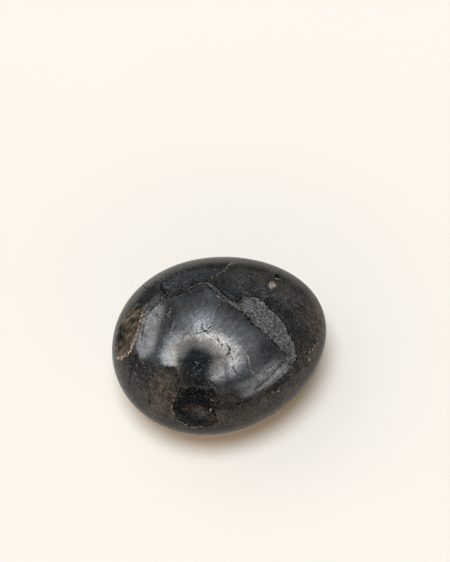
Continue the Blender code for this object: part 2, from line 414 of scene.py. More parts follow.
FIBRE_CORE = 14.0  # nearer to it than this, in units of the view, the fibres get no finer
FIBRE_PACE = 0.05  # how quickly they change along their length
GRAIN_TURN = math.radians(-65)  # direction of the stone's fine grain, from +X
BRUSH_TURN = math.radians(24)  # direction of the sheen plate's long streaks, along its lower crack
STRIP_TURN = math.radians(56)  # direction of its finer streaks, along its left edge
SLIVER_TURN = math.radians(11)  # direction of the olive pocket's slivers
SLIVER_CLIMB = math.radians(44)  # how steeply they climb


# ----------------------------------------------------------------------
# Marks on the far side and underneath, as (bearing, latitude) in degrees
# ----------------------------------------------------------------------

# Fissures, golden seams and veins, each (half width in millimetres, stops).
FAR_FISSURES = [
    (0.22, [(53, 38), (58, 20), (52, 2), (60, -20), (48, -40)]),
    (0.20, [(120, 60), (128, 38), (118, 16), (130, -4), (122, -28)]),
    (0.16, [(128, 38), (150, 30), (163, 12)]),
    (0.18, [(88, 12), (96, -8), (90, -30), (104, -52)]),
    (0.18, [(-40, -6), (-28, -26), (-40, -48), (-70, -62)]),
    (0.16, [(10, 10), (2, -12), (14, -36)]),
    (0.18, [(-140, -20), (-165, -34), (170, -50)]),
    (0.15, [(30, 30), (24, 10), (34, -8)]),
]
FAR_SEAMS = [
    (0.24, [(54, 37), (59, 20), (53, 3), (61, -19)]),
    (0.22, [(129, 37), (149, 29), (161, 14)]),
    (0.24, [(170, -4), (158, -18), (163, -34)]),
    (0.20, [(-52, -22), (-40, -34), (-44, -50)]),
    (0.18, [(80, 44), (86, 30)]),
    (0.18, [(20, -14), (16, -28)]),
]
FAR_VEINS = [
    (1.3, [(-50, 14), (-45, -8), (-38, -28), (-44, -46)]),
    (1.6, [(100, 34), (84, 18), (78, -4), (86, -24), (70, -44)]),
]
# Soft zones and plates, each (bearing, latitude, radius in millimetres, strength).
FAR_BROWN = [
    (70, 30, 9, 0.7), (110, -10, 10, 0.8), (150, -20, 9, 0.6), (10, -25, 9, 0.8), (-70, -35, 11, 0.7),
    (40, 0, 8, 0.5),
]
FAR_SHADE = [
    (95, 45, 7, 0.7), (135, 10, 7, 0.8), (-20, -30, 7, 0.6), (60, -30, 8, 0.7), (-120, -45, 8, 0.6),
]
FAR_MIST = [
    (120, 30, 9, 0.7), (80, 0, 8, 0.6), (170, -10, 8, 0.6), (30, -20, 8, 0.5), (-90, -50, 10, 0.6),
]
FAR_PLATES = [
    (145, 24, 13, 1.0), (65, 8, 11, 1.0), (20, -4, 10, 0.9), (-100, -60, 13, 1.0), (100, -45, 12, 1.0),
]


def signed_margin(places, outline):
    """How far inside a closed outline each place lies, in units of the view, and less than 0 outside it."""
    corners = np.array(outline, float)
    nearest = np.full(len(places), 1e9)
    inside = np.zeros(len(places), bool)
    for start, end in zip(corners, np.roll(corners, -1, axis=0)):
        run = end - start
        offset = places - start
        share = np.clip(offset @ run / (run @ run), 0, 1)
        nearest = np.minimum(nearest, np.linalg.norm(offset - share[:, None] * run, axis=1))
        crosses = (start[1] > places[:, 1]) != (end[1] > places[:, 1])
        climb = (places[:, 1] - start[1]) / (run[1] if run[1] else 1e-9)
        inside ^= crosses & (places[:, 0] < start[0] + climb * run[0])
    return np.where(inside, nearest, -nearest)


def view_zone(places, zones):
    """The strongest of the soft ovals at each place, each exp(-0.9 d^2) at d half widths from its middle."""
    strongest = np.zeros(len(places))
    for x, y, half_width, half_height, turn, strength in zones:
        along = np.array([math.cos(math.radians(turn)), math.sin(math.radians(turn))])
        across = np.array([-along[1], along[0]])
        offset = places - (x, y)
        squared = (offset @ along / half_width) ** 2 + (offset @ across / half_height) ** 2
        strongest = np.maximum(strongest, strength * np.exp(-0.9 * squared))
    return strongest


def far_zone(points, zones):
    """The strongest of the round zones at each point, each exp(-1.2 d^2) at d radii from its middle."""
    strongest = np.zeros(len(points))
    for bearing, latitude, radius, strength in zones:
        distance = np.linalg.norm(points - side_point(bearing, latitude), axis=1) / (radius * MM)
        strongest = np.maximum(strongest, strength * np.exp(-1.2 * distance**2))
    return strongest


def wandering(stops, step, wander, random):
    """Stops every step along a route, each moved by up to wander, as a fissure strays through a crystal."""
    stops = np.array(stops)
    legs = np.linalg.norm(np.diff(stops, axis=0), axis=1)
    reach = np.concatenate([[0], np.cumsum(legs)])
    count = max(2, round(reach[-1] / step) + 1)
    along = np.linspace(0, reach[-1], count)
    path = np.stack([np.interp(along, reach, stops[:, axis]) for axis in range(3)], axis=1)
    path[1:-1] += random.uniform(-wander, wander, (count - 2, 3))
    return path


class StoneMarks:
    """Reads the stone's marks onto its points, as one array of values for each kind of mark."""

    def __init__(self, points, normals, quads):
        self.points = points
        self.normals = normals
        self.places = view_places(points)
        _, _, _, camera = view_axes()
        facing = np.sum(unit(camera - points) * normals, axis=1)
        self.near = smooth(facing, 0.0, 0.12)
        self.tree = BVHTree.FromPolygons(points.tolist(), quads.tolist())
        self.random = np.random.default_rng(62)

    def seen(self, x, y):
        """The point of the stone seen at (x, y), or past its outline the one seen nearest to that."""
        origin, ray = view_ray(x, y)
        hit = self.tree.ray_cast(origin, ray)[0]
        if hit is None:
            nearest = np.argmin(np.hypot(*(self.places - (x, y)).T) - self.near)
            return self.points[nearest]
        return np.array(hit)

    def routes(self, near, far):
        """Yields (half width, stops) for each route, its stops as points on the stone."""
        for half, stops in near:
            yield half * MM, [self.seen(x, y) for x, y in stops]
        for half, stops in far:
            yield half * MM, [side_point(bearing, latitude) for bearing, latitude in stops]

    def threads(self, near, far, wander):
        """The nearest of many thin lines: the distance to one side of it, its half width, and the distance.

        The distance to one side changes sign across the line, so that between points it is exact however
        thin the line is. Each line's width strays, and falls off towards both ends.
        """
        side = np.full(len(self.points), THREAD_REACH)
        half = np.zeros(len(self.points))
        nearest = np.full(len(self.points), THREAD_REACH)
        for widest, stops in self.routes(near, far):
            path = wandering(stops, THREAD_STEP, wander, self.random)
            share = np.linspace(0, 1, len(path))
            halves = widest * (0.40 + 0.60 * np.sin(math.pi * share) ** 0.5)
            halves *= self.random.uniform(0.5, 1.3, len(path))
            above_low = self.points > path.min(axis=0) - THREAD_REACH
            below_high = self.points < path.max(axis=0) + THREAD_REACH
            close = np.flatnonzero(np.all(above_low & below_high, axis=1))
            points = self.points[close]
            for start, end, start_half, end_half in zip(path, path[1:], halves, halves[1:]):
                run = end - start
                along = np.clip((points - start) @ run / max(run @ run, 1e-12), 0, 1)
                offset = points - start - along[:, None] * run
                distance = np.linalg.norm(offset, axis=1)
                nearer = distance < nearest[close]
                chosen = close[nearer]
                left = np.sum(np.cross(self.normals[chosen], run) * offset[nearer], axis=1) > 0
                nearest[chosen] = distance[nearer]
                side[chosen] = np.where(left, distance[nearer], -distance[nearer])
                half[chosen] = start_half + along[nearer] * (end_half - start_half)
        return np.stack([side, half, nearest], axis=1)

    def grains(self, grains, crumbs=()):
        """Margin inside the nearest of many grains, each an oval with smaller ones beside it.

        Crumbs lists, for each smaller one, its share of the grain's radius and how many radii off it is.
        """
        margin = np.full(len(self.points), FAR_MARGIN)
        for x, y, radius in grains:
            centre = self.seen(x, y)
            for share, away in ((1.0, 0.0), *crumbs):
                offset = self.points - centre - unit(self.random.normal(size=3)) * away * radius * MM
                long_way = offset @ unit(self.random.normal(size=3))
                squeeze = self.random.uniform(1.0, 2.2) if crumbs else 1.0
                squared = squeeze**2 * np.sum(offset**2, axis=1) - (squeeze**2 - 1) * long_way**2
                margin = np.maximum(margin, share * radius * MM - np.sqrt(squared))
        return margin

    def region(self, outline):
        """Margin inside an outline drawn in the view, in metres, and well outside it on the far side."""
        return np.where(self.near > 0.5, signed_margin(self.places, outline) * VIEW_UNIT, FAR_MARGIN)

    def far_bands(self, bands):
        """Margin inside the nearest of many veins on the far side, whose widths and routes stray."""
        margin = np.full(len(self.points), FAR_MARGIN)
        for half, stops in self.routes([], bands):
            path = wandering(stops, BAND_STEP, BAND_WANDER, self.random)
            halves = half * self.random.uniform(0.6, 1.2, len(path))
            margin = np.maximum(margin, margin_to_route(self.points, path, halves))
        return np.where(self.near > 0.5, FAR_MARGIN, margin)

    def zone(self, near, far):
        """Strength of the soft zones: those of the view, on the near side, plus those placed by bearing."""
        return view_zone(self.places, near) * self.near + far_zone(self.points, far)

    def far_region(self, zones):
        """Margin inside the nearest of many round plates on the far side."""
        margin = np.full(len(self.points), FAR_MARGIN)
        for bearing, latitude, radius, strength in zones:
            distance = np.linalg.norm(self.points - side_point(bearing, latitude), axis=1)
            margin = np.maximum(margin, radius * strength * MM - distance)
        return np.where(self.near > 0.5, FAR_MARGIN, margin)


def add_mark(mesh, name, values):
    """Keeps one value for each point, for the finish to read."""
    attribute = mesh.attributes.new(name, "FLOAT", "POINT")
    attribute.data.foreach_set("value", values.astype(np.float32))


def add_vector_mark(mesh, name, values):
    """Keeps three values for each point, for the finish to read."""
    attribute = mesh.attributes.new(name, "FLOAT_VECTOR", "POINT")
    attribute.data.foreach_set("vector", values.astype(np.float32).ravel())


def fan_coordinates(places):
    """Coordinates that turn a noise into fibres: quick around the fibres' centre, slow away from it.

    The first two are the direction from the centre times the count over a full turn, and the third is the
    distance times the pace.
    """
    offset = places - FIBRE_CENTRE
    distance = np.linalg.norm(offset, axis=1, keepdims=True)
    around = offset / np.maximum(distance, FIBRE_CORE) * FIBRE_COUNT / (2 * math.pi)
    return np.hstack([around, distance * FIBRE_PACE])


def read_normals(mesh):
    """The normal at each point, as rows."""
    normals = np.empty(len(mesh.vertices) * 3, np.float32)
    mesh.vertices.foreach_get("normal", normals)
    return normals.reshape(-1, 3).astype(float)


def move_vertices(mesh, points):
    mesh.vertices.foreach_set("co", points.astype(np.float32).ravel())
    mesh.update()


def stone_mesh(sizes):
    """The stone's mesh with its relief and its marks.

    A cube's grid is spread evenly over a sphere, gathered towards the near side and shaped to the pebble.
    Each point then sinks along its normal by the depth of the hollows, fissures and pit there, and rises by
    the height of the golden seams.
    """
    corners, quads = cube_shell(sizes.cells)
    _, _, back, _ = view_axes()
    gather = unit(back * 0.6 + (0, 0, 0.4)) * sizes.gather
    directions = unit(unit(np.tan(corners * math.pi / 4)) + gather)
    points = pebble(directions)
    mesh = bpy.data.meshes.new("palm_stone_surface")
    mesh.from_pydata(points.tolist(), [], quads.tolist())
    mesh.update()
    normals = read_normals(mesh)

    marks = StoneMarks(points, normals, quads)
    vein = np.maximum(marks.region(VEIN_OUTLINE), marks.far_bands(FAR_VEINS))
    plate = np.maximum(marks.region(PLATE_OUTLINE), marks.far_region(FAR_PLATES))
    pocket = marks.region(POCKET_OUTLINE)
    patch = marks.region(PATCH_OUTLINE)
    fissures = marks.threads(FISSURES, FAR_FISSURES, FISSURE_WANDER)
    seams = marks.threads(GOLD_SEAMS_AND_HIGHLIGHT, FAR_SEAMS, SEAM_WANDER)
    grain = marks.grains(BRIGHT_GRAINS_AND_GLINT, CRUMBS)
    spot = marks.region(SPOT_OUTLINE)
    pit = marks.grains([PIT])

    depth = SKIN_INSET + sizes.vein_depth * hollow(points, VEIN_HOLLOW)
    depth += sizes.pocket_depth * hollow(points, POCKET_HOLLOW)
    depth += sizes.patch_depth * hollow(points, PATCH_HOLLOW)
    depth += sizes.fissure_depth * smooth(fissures[:, 1] - fissures[:, 2], -0.15 * MM, 0.12 * MM)
    depth += PIT_DEPTH * smooth(pit, -0.3 * MM, 0.5 * MM)
    depth -= SEAM_RISE * smooth(seams[:, 1] - seams[:, 2], -0.2 * MM, 0.3 * MM)
    free = smooth(points[:, 2], REST_LOW, REST_HIGH)
    move_vertices(mesh, points - normals * (depth * free)[:, None])
    mesh.shade_smooth()

    margins = {"vein": vein, "plate": plate, "pocket": pocket, "patch": patch}
    margins.update({"grain": grain, "spot": spot, "pit": pit})
    for name, margin in margins.items():
        add_mark(mesh, name, np.clip(margin / MM, *KEPT_MARGINS))
    add_vector_mark(mesh, "fissure", fissures / MM)
    add_vector_mark(mesh, "seam", seams / MM)
    add_vector_mark(mesh, "fan", fan_coordinates(marks.places))
    zones = {
        "brown": (BROWN_ZONES, FAR_BROWN),
        "rust": (RUST_ZONES, []),
        "shade": (SHADE_ZONES, FAR_SHADE),
        "mist_and_sheen": (MIST_AND_SHEEN_ZONES, FAR_MIST),
        "speck": (SPECK_ZONES, FAR_BROWN),
    }
    for name, (near, far) in zones.items():
        add_mark(mesh, name, marks.zone(near, far))
    return mesh


# ----------------------------------------------------------------------
# Finishes
# ----------------------------------------------------------------------

PAPER_BRIGHT = 0.06  # how far from the stone's middle the floor's reflection begins to dim, in metres
PAPER_DIM = 0.23  # and where it is dimmest
DIM_PAPER = (0.20, 0.20, 0.20)


class Wiring:
    """A node tree, with one short call for each kind of node that the finishes use.

    A value given to a call is a number, a colour or vector, or another node's output.
    """

    def __init__(self, tree):
        self.tree = tree

    def node(self, kind, inputs=(), **settings):
        """A new node with its settings, and each named or numbered input set or linked."""
        made = self.tree.nodes.new(kind)
        for name, value in settings.items():
            setattr(made, name, value)
        for key, value in dict(inputs).items():
            self.plug(made.inputs[key], value)
        return made

    def plug(self, socket, value):
        """Links another node's output to a socket, or sets the socket to a value."""
        if isinstance(value, bpy.types.NodeSocket):
            self.tree.links.new(value, socket)
        elif socket.type == "RGBA" and len(value) == 3:
            socket.default_value = (*value, 1.0)
        else:
            socket.default_value = value

    def math(self, operation, first, second=0.0, third=0.0, clamp=False):
        inputs = {0: first, 1: second, 2: third}
        return self.node("ShaderNodeMath", inputs, operation=operation, use_clamp=clamp).outputs[0]

    def times(self, first, *others, clamp=False):
        """The product of the values."""
        for other in others:
            first = self.math("MULTIPLY", first, other, clamp=clamp)
        return first

    def plus(self, first, second):
        return self.math("ADD", first, second)

    def most(self, first, *others, clamp=False):
        """The largest of the values."""
        for other in others:
            first = self.math("MAXIMUM", first, other, clamp=clamp)
        return first

    def left_of(self, share):
        """What a share leaves of 1."""
        return self.math("SUBTRACT", 1.0, share)

    def vector(self, operation, first, second=(0.0, 0.0, 0.0)):
        made = self.node("ShaderNodeVectorMath", {0: first}, operation=operation)
        if operation == "SCALE":
            self.plug(made.inputs["Scale"], second)
        elif operation != "LENGTH":
            self.plug(made.inputs[1], second)
        return made.outputs["Value" if operation in ("DOT_PRODUCT", "LENGTH") else "Vector"]

    def ramp(self, value, low, high, out_low=0.0, out_high=1.0):
        """Goes smoothly from one result at low to another at high, and stays there."""
        inputs = {"Value": value, "From Min": low, "From Max": high, "To Min": out_low, "To Max": out_high}
        return self.node("ShaderNodeMapRange", inputs, interpolation_type="SMOOTHSTEP").outputs["Result"]

    def toned(self, colour, value, low, high, darkest, palest):
        """A colour made darker or paler by where a value lies between low and high."""
        return self.vector("SCALE", colour, self.ramp(value, low, high, darkest, palest))

    def blend(self, share, low, high):
        """A colour that goes from low to high by a share."""
        inputs = {0: share, 6: low, 7: high}
        return self.node("ShaderNodeMix", inputs, data_type="RGBA").outputs[2]

    def between(self, share, low, high):
        """A number that goes from low to high by a share."""
        return self.node("ShaderNodeMix", {0: share, 2: low, 3: high}, data_type="FLOAT").outputs[0]

    def noise(self, where, scale, detail=3.0, rough=0.55, distortion=0.0):
        inputs = {"Vector": where, "Scale": scale, "Detail": detail, "Roughness": rough}
        return self.node("ShaderNodeTexNoise", {**inputs, "Distortion": distortion}).outputs["Fac"]

    def cells(self, where, scale):
        """Rounded cells, each with a colour by chance and the distance to its middle."""
        return self.node("ShaderNodeTexVoronoi", {"Vector": where, "Scale": scale}).outputs

    def along(self, where, turn, length, climb=0.0):
        """Coordinates that draw a pattern out by a length, along a way turned from +X and climbing."""
        inputs = {"Vector": where, "Rotation": (0.0, -climb, turn), "Scale": (length, 1.0, 1.0)}
        return self.node("ShaderNodeMapping", inputs, vector_type="TEXTURE").outputs["Vector"]

    def mark(self, name):
        """One of the values kept for each point."""
        return self.node("ShaderNodeAttribute", attribute_name=name).outputs["Fac"]

    def vector_mark(self, name):
        return self.node("ShaderNodeAttribute", attribute_name=name).outputs["Vector"]

    def thread(self, name, bend, width, soft):
        """How deep inside a thin line each point is, and 1 on the line. Bend shifts it, width widens it."""
        side, half, distance = self.node("ShaderNodeSeparateXYZ", {0: self.vector_mark(name)}).outputs
        across = self.math("ABSOLUTE", self.plus(side, bend))
        depth = self.math("SUBTRACT", self.times(half, width), across)
        return depth, self.times(self.ramp(depth, -soft, soft), self.ramp(distance, 0.55, 0.85, 1.0, 0.0))


def new_material(name):
    """A material, its shader and the wiring of its nodes."""
    material = bpy.data.materials.new(name)
    material.use_nodes = True
    return material, material.node_tree.nodes["Principled BSDF"], Wiring(material.node_tree)


def centred(w, value, size):
    """A noise value turned into a shift of up to half the size each way."""
    return w.times(w.math("SUBTRACT", value, 0.5), size)


def ground_colour(w, colours, where, mottle, grit, crystals, zones):
    """Dark feldspar: slate blotches, brown and rust stain, blue-grey clouding partly painted as blue sheen,
    dark zones that are partly painted shade, pale threads and grit.
    """
    brown, rust, shade, mist_and_sheen = zones
    blotches = w.noise(where, 0.20, 6.0, 0.66, 0.8)
    colour = w.blend(w.ramp(blotches, 0.38, 0.64), colours.ground_dark, colours.ground_pale)
    clouds = w.noise(w.vector("ADD", where, (31.0, 7.0, 3.0)), 0.22, 5.0, 0.62, 0.8)
    colour = w.blend(w.ramp(clouds, 0.52, 0.66, 0.0, 0.6), colour, colours.stain)
    # Blue-grey clouding, partly painted blue sheen.
    colour = w.blend(mist_and_sheen, colour, colours.mist_and_sheen)
    colour = w.blend(brown, colour, colours.brown)
    colour = w.blend(rust, colour, colours.rust)
    # The shade zones, partly painted shade.
    colour = w.blend(w.times(shade, 0.90), colour, colours.shade)
    threads = w.noise(w.along(where, GRAIN_TURN, 4.0), 2.2, 4.0, 0.7, 0.3)
    colour = w.blend(w.ramp(threads, 0.56, 0.66, 0.0, 0.6), colour, colours.thread)
    pepper = w.ramp(w.noise(w.vector("ADD", where, (4.0, 9.0, 2.0)), 1.8, 4.0, 0.8), 0.53, 0.60)
    colour = w.blend(w.times(pepper, 0.7), colour, colours.shade)
    colour = w.toned(colour, mottle, 0.38, 0.62, 0.74, 1.26)
    speckle = w.times(w.ramp(crystals, 0.0, 1.0, 0.50, 1.50), w.ramp(grit, 0.36, 0.64, 0.40, 1.75))
    return w.vector("SCALE", colour, w.between(w.times(brown, 0.85), speckle, 1.0))


def sheen_colour(w, colours, where, mottle, grit, crystals):
    """The sheen plate: blue-grey, crossed by fine fibres that fan out from one place, with darker clouds."""
    fan = w.vector_mark("fan")
    fibres = w.noise(fan, 1.0, 5.0, 0.75)
    lines = w.noise(w.along(where, BRUSH_TURN, 8.0), 2.2, 5.0, 0.75, 0.2)
    streaks = w.noise(w.along(where, STRIP_TURN, 7.0), 1.9, 4.0, 0.7, 0.2)
    colour = w.blend(w.ramp(mottle, 0.40, 0.60), colours.sheen_cool, colours.sheen_warm)
    colour = w.toned(colour, w.noise(where, 0.18, 5.0, 0.65, 0.6), 0.38, 0.62, 0.82, 1.12)
    colour = w.toned(colour, fibres, 0.40, 0.60, 0.86, 1.15)
    colour = w.toned(colour, w.noise(fan, 0.22, 3.0, 0.6), 0.38, 0.62, 0.88, 1.12)
    colour = w.toned(colour, lines, 0.38, 0.62, 0.82, 1.20)
    colour = w.toned(colour, streaks, 0.38, 0.62, 0.90, 1.10)
    fine = w.times(w.ramp(crystals, 0.0, 1.0, 0.80, 1.20), w.ramp(grit, 0.36, 0.64, 0.76, 1.28))
    busy = w.ramp(w.mark("speck"), 0.0, 0.7, 0.35, 1.0)
    return w.vector("SCALE", colour, w.between(busy, 1.0, fine)), fibres


def hairline_cracks(w, where, bend):
    """Fine cracks: the borders of large bent cells, broken up by a noise."""
    shifted = w.vector("ADD", w.vector("ADD", where, (3.0, 5.0, 2.0)), w.vector("SCALE", bend, 2.2))
    inputs = {"Vector": shifted, "Scale": 0.26}
    cells = w.node("ShaderNodeTexVoronoi", inputs, feature="DISTANCE_TO_EDGE")
    broken = w.ramp(w.noise(where, 0.55, 3.0, 0.7), 0.53, 0.60)
    return w.times(w.ramp(cells.outputs["Distance"], 0.006, 0.030, 1.0, 0.0), broken)


def polished_labradorite(colours):
    """The stone's one material. All patterns are in millimetres over Object coordinates."""
    material, shader, w = new_material("polished_labradorite")
    where = w.vector("SCALE", w.node("ShaderNodeTexCoord").outputs["Object"], 1 / MM)

    clouds = w.node("ShaderNodeTexNoise", {"Vector": where, "Scale": 0.9, "Detail": 6.0, "Roughness": 0.68})
    mottle = clouds.outputs["Fac"]
    grit = w.noise(where, 2.4, 4.0, 0.80)
    facets = w.cells(w.along(where, GRAIN_TURN, 1.6), 3.1)
    crystals = w.node("ShaderNodeSeparateColor", {"Color": facets["Color"]}).outputs[0]
    edge_shift = centred(w, mottle, 4.0)
    fine_shift = centred(w, grit, 2.2)
    jag = w.noise(where, 2.2, 3.0, 0.6)
    bend = centred(w, jag, 0.9)

    def inside(name, low, high, shift):
        """The share of a marked region at each point, and 1 along its edge, which strays by the shift."""
        margin = w.plus(w.mark(name), shift)
        return w.ramp(margin, low, high), w.ramp(w.math("ABSOLUTE", margin), 0.03, 0.24, 1.0, 0.0)

    def zone(name, low, high, least, most):
        """The strength of a soft zone, broken up by the mottling."""
        return w.times(w.mark(name), w.ramp(mottle, low, high, least, most), clamp=True)

    vein, vein_edge = inside("vein", -0.10, 0.10, w.times(edge_shift, 0.5))
    plate, _ = inside("plate", -0.5, 0.8, edge_shift)
    pocket, _ = inside("pocket", -0.35, 0.35, edge_shift)
    patch, patch_edge = inside("patch", -0.20, 0.20, edge_shift)
    grain, _ = inside("grain", -0.10, 0.10, fine_shift)
    spot, _ = inside("spot", -0.15, 0.25, fine_shift)
    pit, _ = inside("pit", -0.05, 0.20, fine_shift)
    width = w.ramp(w.noise(where, 1.3, 2.0), 0.36, 0.60, 0.55, 1.45)
    _, fissure = w.thread("fissure", bend, width, 0.05)
    seam_depth, seam = w.thread("seam", w.times(bend, 1.3), width, 0.06)
    seam = w.times(seam, w.ramp(w.noise(where, 2.3, 3.0, 0.7), 0.42, 0.55, 0.05, 1.0))
    drift = w.ramp(w.noise(where, 0.30, 5.0, 0.62, 0.6), 0.38, 0.60, 0.45, 1.15)
    brown = w.times(zone("brown", 0.30, 0.66, 0.70, 1.15), drift, clamp=True)
    rust = zone("rust", 0.40, 0.60, 0.0, 1.2)
    # Partly painted shade; see the shade zones.
    shade = zone("shade", 0.36, 0.56, 0.45, 1.15)
    # Partly painted blue sheen.
    mist_and_sheen = zone("mist_and_sheen", 0.36, 0.60, 0.25, 1.25)

    # Ground and sheen plate: the plate shines as a metal does, less where it is stained brown.
    ground = ground_colour(w, colours, where, mottle, grit, crystals, (brown, rust, shade, mist_and_sheen))
    sheen, fibres = sheen_colour(w, colours, where, mottle, grit, crystals)
    # Painted shade: the shade zones also darken the sheen's metal colour, and so its reflections.
    sheen = w.toned(sheen, shade, 0.0, 1.0, 1.0, 0.28)
    plate_share = w.times(plate, w.ramp(brown, 0.0, 1.0, 1.0, 0.50))
    colour = w.blend(plate_share, ground, sheen)

    # Pocket: matte olive-brown cleavage with pale slivers.
    slivers = w.noise(w.along(where, SLIVER_TURN, 3.0, SLIVER_CLIMB), 0.80, 7.0, 0.70, 0.5)
    olive = w.blend(w.ramp(slivers, 0.36, 0.64), colours.olive_dark, colours.olive_pale)
    olive = w.toned(olive, grit, 0.36, 0.64, 0.60, 1.45)
    olive = w.blend(shade, olive, colours.shade)
    colour = w.blend(pocket, colour, olive)

    # Dark patch: near-black and pitted.
    black = w.blend(w.ramp(w.noise(where, 1.5, 6.0, 0.8), 0.50, 0.62), colours.patch, colours.patch_pale)
    black = w.blend(mist_and_sheen, black, colours.ash)
    black = w.blend(rust, black, colours.rust)
    black = w.toned(black, crystals, 0.0, 1.0, 0.6, 1.4)
    black = w.toned(black, grit, 0.36, 0.64, 0.50, 1.55)
    colour = w.blend(patch, colour, black)

    # Vein: salt and pepper.
    salt = w.math("MULTIPLY_ADD", crystals, 0.36, w.noise(where, 2.6, 4.0, 0.9))
    crumbs = w.blend(w.ramp(salt, 0.55, 0.87), colours.vein_dark, colours.vein_pale)
    crumbs = w.toned(crumbs, mottle, 0.36, 0.64, 0.90, 1.12)
    pepper = w.ramp(w.noise(where, 2.7, 3.0, 0.8), 0.56, 0.62)
    crumbs = w.blend(w.most(w.times(pepper, 0.45), w.times(shade, 0.75)), crumbs, colours.patch)
    colour = w.blend(vein, colour, crumbs)

    # Fissures, hairline cracks, the pit, whose black is painted shade, and the dark edges of the vein
    # and the patch.
    hairlines = w.times(hairline_cracks(w, where, clouds.outputs["Color"]), 0.65)
    edges = w.most(vein_edge, patch_edge)
    dark_edges = w.times(edges, w.ramp(w.noise(where, 0.8, 3.0, 0.6), 0.44, 0.56, 0.0, 0.9))
    fissure = w.most(fissure, pit, hairlines, dark_edges)
    colour = w.blend(fissure, colour, colours.fissure)

    # Scattered flecks and pores: each lies in a cell of its own, and chance picks the cells.
    warped = w.vector("ADD", where, w.vector("SCALE", clouds.outputs["Color"], 0.9))
    flecks = w.cells(w.along(warped, GRAIN_TURN, 1.8), 3.1)
    chance = w.node("ShaderNodeSeparateColor", {"Color": flecks["Color"]}).outputs
    wanted = w.math("MULTIPLY_ADD", w.mark("speck"), 0.18, 0.026)
    close = w.ramp(flecks["Distance"], 0.15, 0.42, 1.0, 0.0)
    fleck = w.times(close, w.math("LESS_THAN", chance[1], wanted))
    pore = w.times(close, w.math("LESS_THAN", chance[0], w.times(wanted, 1.6)))
    colour = w.blend(w.times(pore, 0.8), colour, colours.fissure)
    fleck_colour = w.blend(w.math("POWER", chance[2], 3.0), colours.gold_dark, colours.gold_pale)
    colour = w.blend(w.times(fleck, 0.62), colour, fleck_colour)

    # Golden seams and edges, placed grains, a painted glint in the pit, and the round spot.
    glitter = w.ramp(w.noise(where, 2.6, 3.0, 0.7), 0.40, 0.60)
    gold_gaps = w.noise(w.vector("ADD", where, (9.0, 2.0, 5.0)), 1.5, 3.0)
    gold_edges = w.times(edges, w.ramp(gold_gaps, 0.58, 0.64))
    golden = w.most(w.times(seam, w.ramp(glitter, 0.0, 0.5, 0.2, 1.0)), gold_edges)
    colour = w.blend(golden, colour, w.blend(glitter, colours.gold_dark, colours.gold_pale))
    core = w.ramp(seam_depth, 0.08, 0.26)
    bright = w.most(w.times(seam, core), grain)
    lustre = w.ramp(w.math("MULTIPLY_ADD", crystals, 0.2, jag), 0.48, 0.72)
    colour = w.blend(bright, colour, w.blend(lustre, colours.gold_dull, colours.grain))
    crust = w.ramp(w.math("MULTIPLY_ADD", crystals, 0.3, jag), 0.55, 0.85)
    crusted = w.math("SUBTRACT", spot, bright, clamp=True)
    colour = w.blend(crusted, colour, w.blend(crust, colours.crust, colours.grain))

    # Polish and relief: the vein, the pocket, most of the patch and all small marks are dull.
    lines = w.most(golden, bright, fissure, fleck, clamp=True)
    dull = w.most(vein, pocket, w.times(patch, 0.7), spot, lines)
    metal = w.times(plate_share, 0.95, w.left_of(w.most(dull, patch)))
    polish = w.times(w.left_of(w.times(dull, 0.8)), 0.5)
    roughness = w.between(dull, w.ramp(mottle, 0.3, 0.7, 0.07, 0.15), 0.65)
    relief = w.times(grit, w.between(dull, 0.012, 0.13))
    relief = w.math("MULTIPLY_ADD", fibres, 0.004, relief)
    relief = w.math("MULTIPLY_ADD", fissure, -0.06, relief)
    relief = w.math("MULTIPLY_ADD", w.most(golden, bright), 0.05, relief)
    bump = w.node("ShaderNodeBump", {"Height": relief, "Distance": MM, "Strength": 1.0})

    w.plug(shader.inputs["Base Color"], colour)
    w.plug(shader.inputs["Metallic"], metal)
    w.plug(shader.inputs["Roughness"], roughness)
    w.plug(shader.inputs["Coat Weight"], polish)
    w.plug(shader.inputs["Normal"], bump.outputs["Normal"])
    shader.inputs["Coat Roughness"].default_value = 0.05
    shader.inputs["Coat IOR"].default_value = 1.5
    shader.inputs["Specular IOR Level"].default_value = 0.0
    return material


def pale_paper(colour):
    """The floor's material. In the polish it is bright only near the stone, as on a table in a dim room."""
    material, shader, w = new_material("pale_paper")
    where = w.node("ShaderNodeTexCoord").outputs["Object"]
    tint = w.toned(tuple(colour), w.noise(where, 6.0, 2.0), 0.3, 0.7, 0.995, 1.005)
    away = w.ramp(w.vector("LENGTH", where), PAPER_BRIGHT, PAPER_DIM)
    dimmed = w.times(away, w.node("ShaderNodeLightPath").outputs["Is Glossy Ray"])
    tooth = w.noise(where, 900.0, 3.0, 0.6)
    bump = w.node("ShaderNodeBump", {"Height": tooth, "Distance": 0.02 * MM, "Strength": 0.4})
    w.plug(shader.inputs["Base Color"], w.blend(dimmed, tint, DIM_PAPER))
    w.plug(shader.inputs["Normal"], bump.outputs["Normal"])
    shader.inputs["Roughness"].default_value = 0.9
    shader.inputs["Specular IOR Level"].default_value = 0.0
    return material


# ----------------------------------------------------------------------
# Settings
# ----------------------------------------------------------------------


def size_setting(name, description, default):
    return bpy.props.FloatProperty(
        name=name,
        description=description,
        default=default,
        min=0.0,
        unit="LENGTH",
        subtype="DISTANCE",
        precision=5,
    )


def share_setting(name, description, default):
    return bpy.props.FloatProperty(
        name=name, description=description, default=default, min=0.0, max=1.0, subtype="FACTOR"
    )


def colour_setting(name, description, default):
    return bpy.props.FloatVectorProperty(
        name=name, description=description, default=default, size=3, min=0.0, max=4.0, subtype="COLOR"
    )


